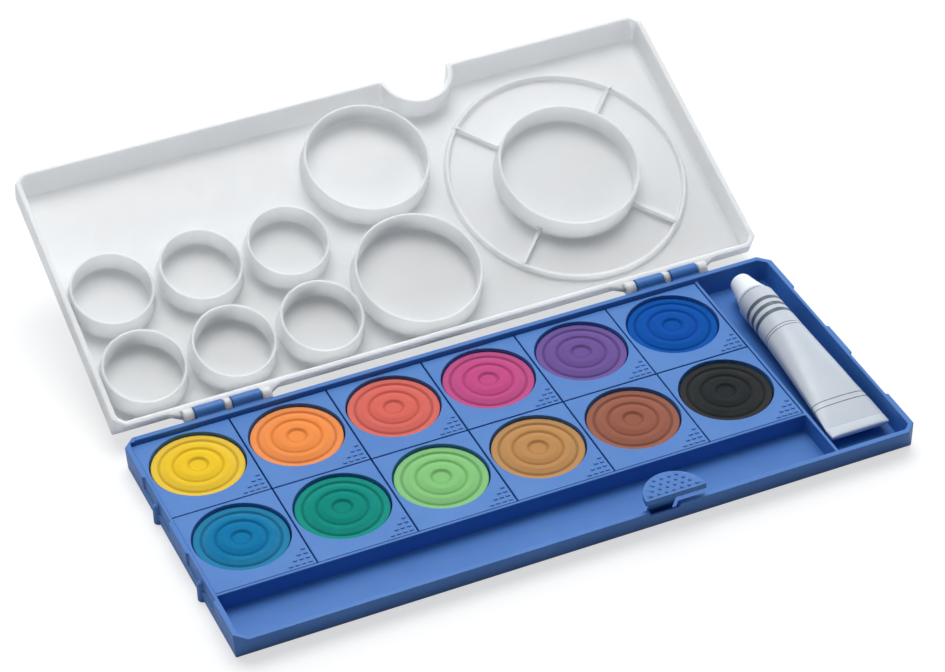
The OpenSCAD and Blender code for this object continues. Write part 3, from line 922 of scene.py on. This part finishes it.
@dataclass
class PaintTube:
    """Soft tube of white with its cap, lying along Y with its fold towards the front.

    Lengths are in millimetres, and t is a place's share of the way from shoulder to fold.

    Attributes:
        enamel: finish of the tube.
        cap_plastic: finish of the cap.
        radius: the round body's radius.
        length: distance from the shoulder to the fold.
        fold_l, fold_t: length and thickness of the folded strip.
        neck_r, neck_l, cone_l: the neck's radius and length, and the cone's length.
        flatten: power of t by which the body goes from round to flat.
        flare: how much wider than an even way round the folded end is, as a share.
        droop: how far the middle sinks, as a share of the half thickness that is lost.
        corners: how much squarer than an oval the folded end is.
        cap_taper: the cap's narrow radius as a share of its wide one.
        rings, sides: rings from shoulder to fold, and points in each.
        cap_sides: points in each ring of the cap.
        seed: sets the dents.
        axis_x, axis_z, shoulder: place of the axis and of the shoulder, read off the solids.
    """

    enamel: PrintedEnamel
    cap_plastic: MouldedPlastic
    radius: float = 6.65
    length: float = 65.5
    fold_l: float = 4.6
    fold_t: float = 1.2
    neck_r: float = 3.1
    neck_l: float = 6.0
    cone_l: float = 1.6
    flatten: float = 1.8
    flare: float = 0.11
    droop: float = 0.42
    corners: float = 0.55
    cap_taper: float = 0.66
    rings: int = 110
    sides: int = 128
    cap_sides: int = 96
    seed: int = 11
    axis_x: float = field(init=False)
    axis_z: float = field(init=False)
    shoulder: float = field(init=False)

    def __post_init__(self) -> None:
        """Read the tube's axis off the cap, and its shoulder off the folded end."""
        low, high = (np.array(v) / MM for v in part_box("tube_cap"))
        self.axis_x = (low[0] + high[0]) / 2
        self.axis_z = (low[2] + high[2]) / 2
        body_low = np.array(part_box("tube_body")[0]) / MM
        self.shoulder = body_low[1] + self.length + self.fold_l

    def half_height(self, t: np.ndarray) -> np.ndarray:
        """Half the body's thickness, which falls from round to flat with a power of t."""
        return self.radius + (self.fold_t / 2 - self.radius) * np.clip(t, 0, 1) ** self.flatten

    def half_width(self, t: np.ndarray) -> np.ndarray:
        """Half the body's width, which keeps the way round the same, with a flare at the fold.

        Args:
            t: shares of the way from shoulder to fold.

        Returns:
            The square root of twice the radius squared less the half height squared, widened
            by the flare times t to the 4.
        """
        t = np.clip(t, 0, 1)
        even = np.sqrt(2 * self.radius ** 2 - self.half_height(t) ** 2)
        return even * (1 + self.flare * t ** 4)

    def build(self) -> None:
        """Make and dress the tube and its cap, and dress the paint inside."""
        self.body()
        self.cap()
        filling = frame["nodes"]["tube_filling"]
        white = PressedPaint("white_paint", linear(236, 236, 232), linear(236, 236, 232))
        dress(filling, white.build())

    def outline(self) -> np.ndarray:
        """Half axes of the tube's ovals from the neck to the fold.

        The neck and the cone are round. The body's half axes follow half_width and
        half_height, and the strip behind the crease keeps the last width.

        Returns:
            One row for each ring: its place from the shoulder, half width, half height and t.
        """
        front = np.array([
            [self.cone_l + self.neck_l, self.neck_r - 0.25],
            [self.cone_l + self.neck_l - 0.2, self.neck_r],
            [self.cone_l + 0.2, self.neck_r],
            [self.cone_l, self.neck_r + 0.5],
            [0.4, self.radius - 0.35],
            [0.12, self.radius - 0.05]])
        t = np.linspace(0.0, 1.0, self.rings)
        # Places behind the crease, with half the thickness of the two layers there.
        strip = np.array([
            [0.10, 0.55], [0.35, 0.62], [0.6, 0.85], [1.0, 0.95], [2.0, 0.97], [3.0, 0.97],
            [self.fold_l - 0.5, 0.93], [self.fold_l - 0.15, 0.7], [self.fold_l, 0.35]])
        wide = self.half_width(t)[-1] - np.where(strip[:, 0] > self.fold_l - 0.2, 0.15, 0.0)
        return np.concatenate([
            np.stack([front[:, 0], front[:, 1], front[:, 1], np.zeros(len(front))], axis=-1),
            np.stack([-self.length * t, self.half_width(t), self.half_height(t), t], axis=-1),
            np.stack([-self.length - strip[:, 0], wide, strip[:, 1], np.ones(len(strip))],
                     axis=-1)])

    def skin(self) -> np.ndarray:
        """Points of the tube's skin.

        A ring's point at angle a is half width times cos a, and half height times sin a, each
        with its size raised to a power that falls from 1 with t cubed, so that the corners
        grow squarer. The dents shrink it, and the ring sinks as its half height shrinks.

        Returns:
            The points of each ring in turn, then the middles of the two ends.
        """
        y, half_x, half_z, t = self.outline().T
        sag = np.where(t > 0, -self.droop * (self.radius - self.half_height(t)), 0.0)
        turn = np.linspace(0.0, 2 * np.pi, self.sides, endpoint=False)
        power = 1 - self.corners * t[:, None] ** 3
        cos, sin = np.cos(turn)[None, :], np.sin(turn)[None, :]
        dent = self.dents(turn, y, t)
        x = half_x[:, None] * np.sign(cos) * np.abs(cos) ** power * (1 + dent * 0.4)
        z = half_z[:, None] * np.sign(sin) * np.abs(sin) ** power * (1 + dent)
        skin = np.stack([self.axis_x + x, np.repeat(self.shoulder + y[:, None], self.sides, 1),
                         self.axis_z + sag[:, None] + z], axis=-1).reshape(-1, 3)
        ends = np.array([[self.axis_x, self.shoulder + y[0], self.axis_z],
                         [self.axis_x, self.shoulder + y[-1], self.axis_z + sag[-1]]])
        return np.concatenate([skin, ends])

    def body(self) -> None:
        """Build and dress the tube's skin, with a UV map: share of the way round, and length."""
        points = self.skin()
        total = len(points) - 2
        count = total // self.sides
        faces = (tube_faces(count, self.sides).tolist() + fan(total, 0, self.sides, True).tolist()
                 + fan(total + 1, total - self.sides, self.sides, False).tolist())
        piece = piece_from("tube_skin", points, faces)
        uv = piece.data.uv_layers.new(name="skin")
        corner = np.empty(len(piece.data.loops), np.int32)
        piece.data.loops.foreach_get("vertex_index", corner)
        around = np.concatenate([np.tile(np.arange(self.sides) / self.sides, count), [0, 0]])
        along = (self.shoulder - points[:, 1]) / UV_SPAN
        both = np.stack([around[corner], along[corner]], axis=-1)
        uv.data.foreach_set("uv", both.astype(np.float32).ravel())
        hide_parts("tube_body")
        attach(piece, "tube")
        dress(piece, self.enamel.build())

    def dents(self, turn: np.ndarray, y: np.ndarray, t: np.ndarray) -> np.ndarray:
        """Small inward dents and the long wrinkles that run into the fold.

        Each dent is a smooth bump over angle and length. The wrinkles are a sine round the
        tube that grows with t cubed.

        Args:
            turn: angles round the tube.
            y: places along it, from the shoulder.
            t: the share of the way at those places.

        Returns:
            How much to shrink each point, as a share of its distance from the axis.
        """
        rng = np.random.default_rng(self.seed)
        shrink = np.zeros((len(y), len(turn)))
        for _ in range(9):
            dent_turn, dent_y = rng.uniform(0.2, 2.9), rng.uniform(-62, -6)
            wide, long = rng.uniform(0.22, 0.5), rng.uniform(2.5, 7)
            deep = rng.uniform(0.01, 0.035)
            shrink -= deep * np.exp(-((turn[None, :] - dent_turn) / wide) ** 2
                                    - ((y[:, None] - dent_y) / long) ** 2)
        wrinkle = np.sin(turn[None, :] * 9 + 0.8) * 0.02 * t[:, None] ** 3
        return shrink + np.where(t[:, None] < 0.999, wrinkle, 0.0) - 0.004 * t[:, None]

    def cap(self) -> None:
        """Build the cap: a tapering cone with a rounded end and a small bead at its mouth."""
        low, high = (np.array(v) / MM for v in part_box("tube_cap"))
        length = high[1] - low[1]
        wide = (high[0] - low[0]) / 2
        narrow = wide * self.cap_taper
        profile = np.array([
            [0.0, 0.0], [wide - 0.25, 0.0], [wide - 0.02, 0.15], [wide - 0.02, 0.9],
            [wide - 0.1, 1.1], [wide - 0.22, 1.35], [wide - 0.62, 3.0], [wide - 1.15, 5.5],
            [wide - 1.62, 8.0], [narrow + 0.02, length - 1.3], [narrow - 0.18, length - 0.7],
            [narrow - 0.55, length - 0.3], [narrow - 1.05, length - 0.08],
            [narrow - 1.6, length], [0.0, length]])

        def place(ring: np.ndarray, turn: np.ndarray, height: np.ndarray) -> np.ndarray:
            """Points of the cap: the profile turned about the tube's axis, along Y.

            Args:
                ring, turn, height: distance from the axis, angle and place along it.

            Returns:
                The points, as x, y, z.
            """
            return np.stack([self.axis_x + ring * np.cos(turn), low[1] + height,
                             self.axis_z - ring * np.sin(turn)], axis=-1)

        points, faces = closed_revolve(profile, self.cap_sides, place)
        piece = piece_from("screw_cap", points, faces)
        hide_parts("tube_cap")
        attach(piece, "cap")
        dress(piece, self.cap_plastic.build())


# ---- Studio ----


@dataclass(frozen=True)
class Lamp:
    """A round soft lamp.

    Attributes:
        name: its name.
        place: where it hangs, in metres.
        size: its diameter, in metres.
        power: its power, in watts.
        colour: its colour.
        aim: the point that it shines at, in metres.
    """

    name: str
    place: tuple[float, float, float]
    size: float
    power: float
    colour: Colour
    aim: tuple[float, float, float] = (0.0, 0.03, 0.0)

    def hang(self) -> None:
        """Put the lamp into the scene."""
        data = bpy.data.lights.new(self.name, "AREA")
        data.shape = "DISK"
        data.size = self.size
        data.energy = self.power
        data.color = self.colour
        made = bpy.data.objects.new(self.name, data)
        made.location = self.place
        ray = Vector(self.aim) - Vector(self.place)
        made.rotation_euler = ray.to_track_quat("-Z", "Y").to_euler()
        bpy.context.scene.collection.objects.link(made)


@dataclass
class Studio:
    """Camera, lamps, sky and table.

    Attributes:
        azimuth, elevation, roll: direction of the camera, in degrees.
        distance: from the camera to its target, in metres.
        target: the point at the middle of the picture, in metres.
        lens: focal length for a sensor 36 mm wide.
        dim, bright: how bright the sky is in front of the box and behind it.
        brightest: direction in which the sky grows brighter.
        fade: the shares of that direction between which it does.
        sky: the sky's colour.
        lamps: the lamps, a large one over the box and a weak fill at its front left.
        table: the table's finish.
    """

    azimuth: float = -23.734
    elevation: float = 38.282
    roll: float = -0.882
    distance: float = 1.07884
    target: tuple[float, float, float] = (0.00793, 0.05443, 0.0076)
    lens: float = 124.42
    dim: float = 0.10
    bright: float = 1.5
    brightest: tuple[float, float, float] = (0.40, 0.915, 0.0)
    fade: tuple[float, float] = (-0.2, 0.75)
    sky: Colour = (0.93, 0.96, 1.0)
    lamps: tuple[Lamp, ...] = (
        Lamp("overhead", (0.12, 0.4, 1.35), 1.0, 12.5, (1.0, 0.99, 0.98)),
        Lamp("fill", (-1.1, -0.5, 0.9), 0.7, 0.8, (0.95, 0.98, 1.0)))
    table: PaleTable = PaleTable("pale_table", (0.4, 0.4, 0.4), (0.66, 0.67, 0.68))

    def build(self) -> None:
        """Make the camera, the sky, the lamps and the table."""
        scene = bpy.context.scene
        scene.view_settings.view_transform = "Standard"
        self.camera(scene)
        self.world(scene)
        for lamp in self.lamps:
            lamp.hang()
        self.lay_table()

    def camera(self, scene: bpy.types.Scene) -> None:
        """Place the camera at the photograph's viewing angle.

        Args:
            scene: the scene that it becomes the camera of.
        """
        a, e, r = (math.radians(v) for v in (self.azimuth, self.elevation, self.roll))
        back = Vector((math.sin(a) * math.cos(e), -math.cos(a) * math.cos(e), math.sin(e)))
        right = Vector((0, 0, 1)).cross(back).normalized()
        up = back.cross(right)
        tilted = right * math.cos(r) + up * math.sin(r)
        upright = up * math.cos(r) - right * math.sin(r)
        data = bpy.data.cameras.new("camera")
        data.lens = self.lens
        data.sensor_width = 36.0
        data.clip_start, data.clip_end = 0.05, 20.0
        made = bpy.data.objects.new("camera", data)
        scene.collection.objects.link(made)
        place = Matrix((tilted, upright, back)).transposed().to_4x4()
        place.translation = Vector(self.target) + back * self.distance
        made.matrix_world = place
        scene.camera = made

    def world(self, scene: bpy.types.Scene) -> None:
        """Soft light from a sky that is brightest behind the box, and white to the camera.

        The sky's strength grows with the dot product of its direction and the brightest one.

        Args:
            scene: the scene whose world is set.
        """
        world = bpy.data.worlds.new("studio")
        world.use_nodes = True
        tree = world.node_tree
        tree.nodes.clear()
        output = tree.nodes.new("ShaderNodeOutputWorld")
        path = tree.nodes.new("ShaderNodeLightPath")
        soft = tree.nodes.new("ShaderNodeBackground")
        soft.inputs["Color"].default_value = (*self.sky, 1.0)
        way = tree.nodes.new("ShaderNodeTexCoord")
        along = tree.nodes.new("ShaderNodeVectorMath")
        along.operation = "DOT_PRODUCT"
        along.inputs[1].default_value = self.brightest
        level = tree.nodes.new("ShaderNodeMapRange")
        for key, number in zip(("From Min", "From Max", "To Min", "To Max"),
                               (*self.fade, self.dim, self.bright)):
            level.inputs[key].default_value = number
        tree.links.new(way.outputs["Generated"], along.inputs[0])
        tree.links.new(along.outputs["Value"], level.inputs["Value"])
        tree.links.new(level.outputs["Result"], soft.inputs["Strength"])
        seen = tree.nodes.new("ShaderNodeBackground")
        seen.inputs["Strength"].default_value = 1.0
        mix = tree.nodes.new("ShaderNodeMixShader")
        tree.links.new(path.outputs["Is Camera Ray"], mix.inputs["Fac"])
        tree.links.new(soft.outputs[0], mix.inputs[1])
        tree.links.new(seen.outputs[0], mix.inputs[2])
        tree.links.new(mix.outputs[0], output.inputs["Surface"])
        scene.world = world

    def lay_table(self) -> None:
        """Lay the table: a wide disc whose top lies a hair below the tray's underside."""
        wide, top, under = 3000.0, -0.02, -2.0
        profile = np.array([[0.0, under], [wide, under], [wide, top], [800.0, top],
                            [200.0, top], [0.0, top]])

        def place(ring: np.ndarray, turn: np.ndarray, height: np.ndarray) -> np.ndarray:
            """Points of a flat disc with a thin edge.

            Args:
                ring, turn, height: distance from the middle, angle and height.

            Returns:
                The points, as x, y, z.
            """
            return np.stack([ring * np.cos(turn), ring * np.sin(turn), height], axis=-1)

        points, faces = closed_revolve(profile, 64, place)
        floor = piece_from("table", points, faces, smooth=False)
        floor.data.materials.append(self.table.build())


def main() -> None:
    """Build every sub-assembly, then the studio."""
    logging.basicConfig(level=logging.INFO, format="%(name)s %(message)s")
    blue = MouldedPlastic("blue_plastic", linear(64, 119, 190), linear(57, 111, 184), 0.46)
    white = MouldedPlastic("white_plastic", linear(235, 237, 238), linear(232, 235, 236), 0.36,
                           grain=0.004, glow_depth=8.0)
    cap_white = MouldedPlastic("cap_white", linear(238, 243, 249), linear(231, 237, 244), 0.42)
    Tray(blue).build()
    PaletteLid(white).build()
    pan_blue = MouldedPlastic("pan_blue", linear(70, 125, 195), linear(63, 118, 190), 0.48).build()
    for number, paint in enumerate(Paint):
        PaintPan(paint, pan_blue, seed=40 + number).build()
    enamel = PrintedEnamel("printed_enamel", linear(196, 204, 213), linear(70, 84, 98),
                           rings=((6.0, 1.7), (9.4, 1.7), (12.8, 1.7), (19.4, 0.3), (20.6, 0.3),
                                  (55.0, 0.35), (57.2, 0.35)))
    PaintTube(enamel, cap_white).build()
    Studio().build()


if __name__ == "__main__":
    main()
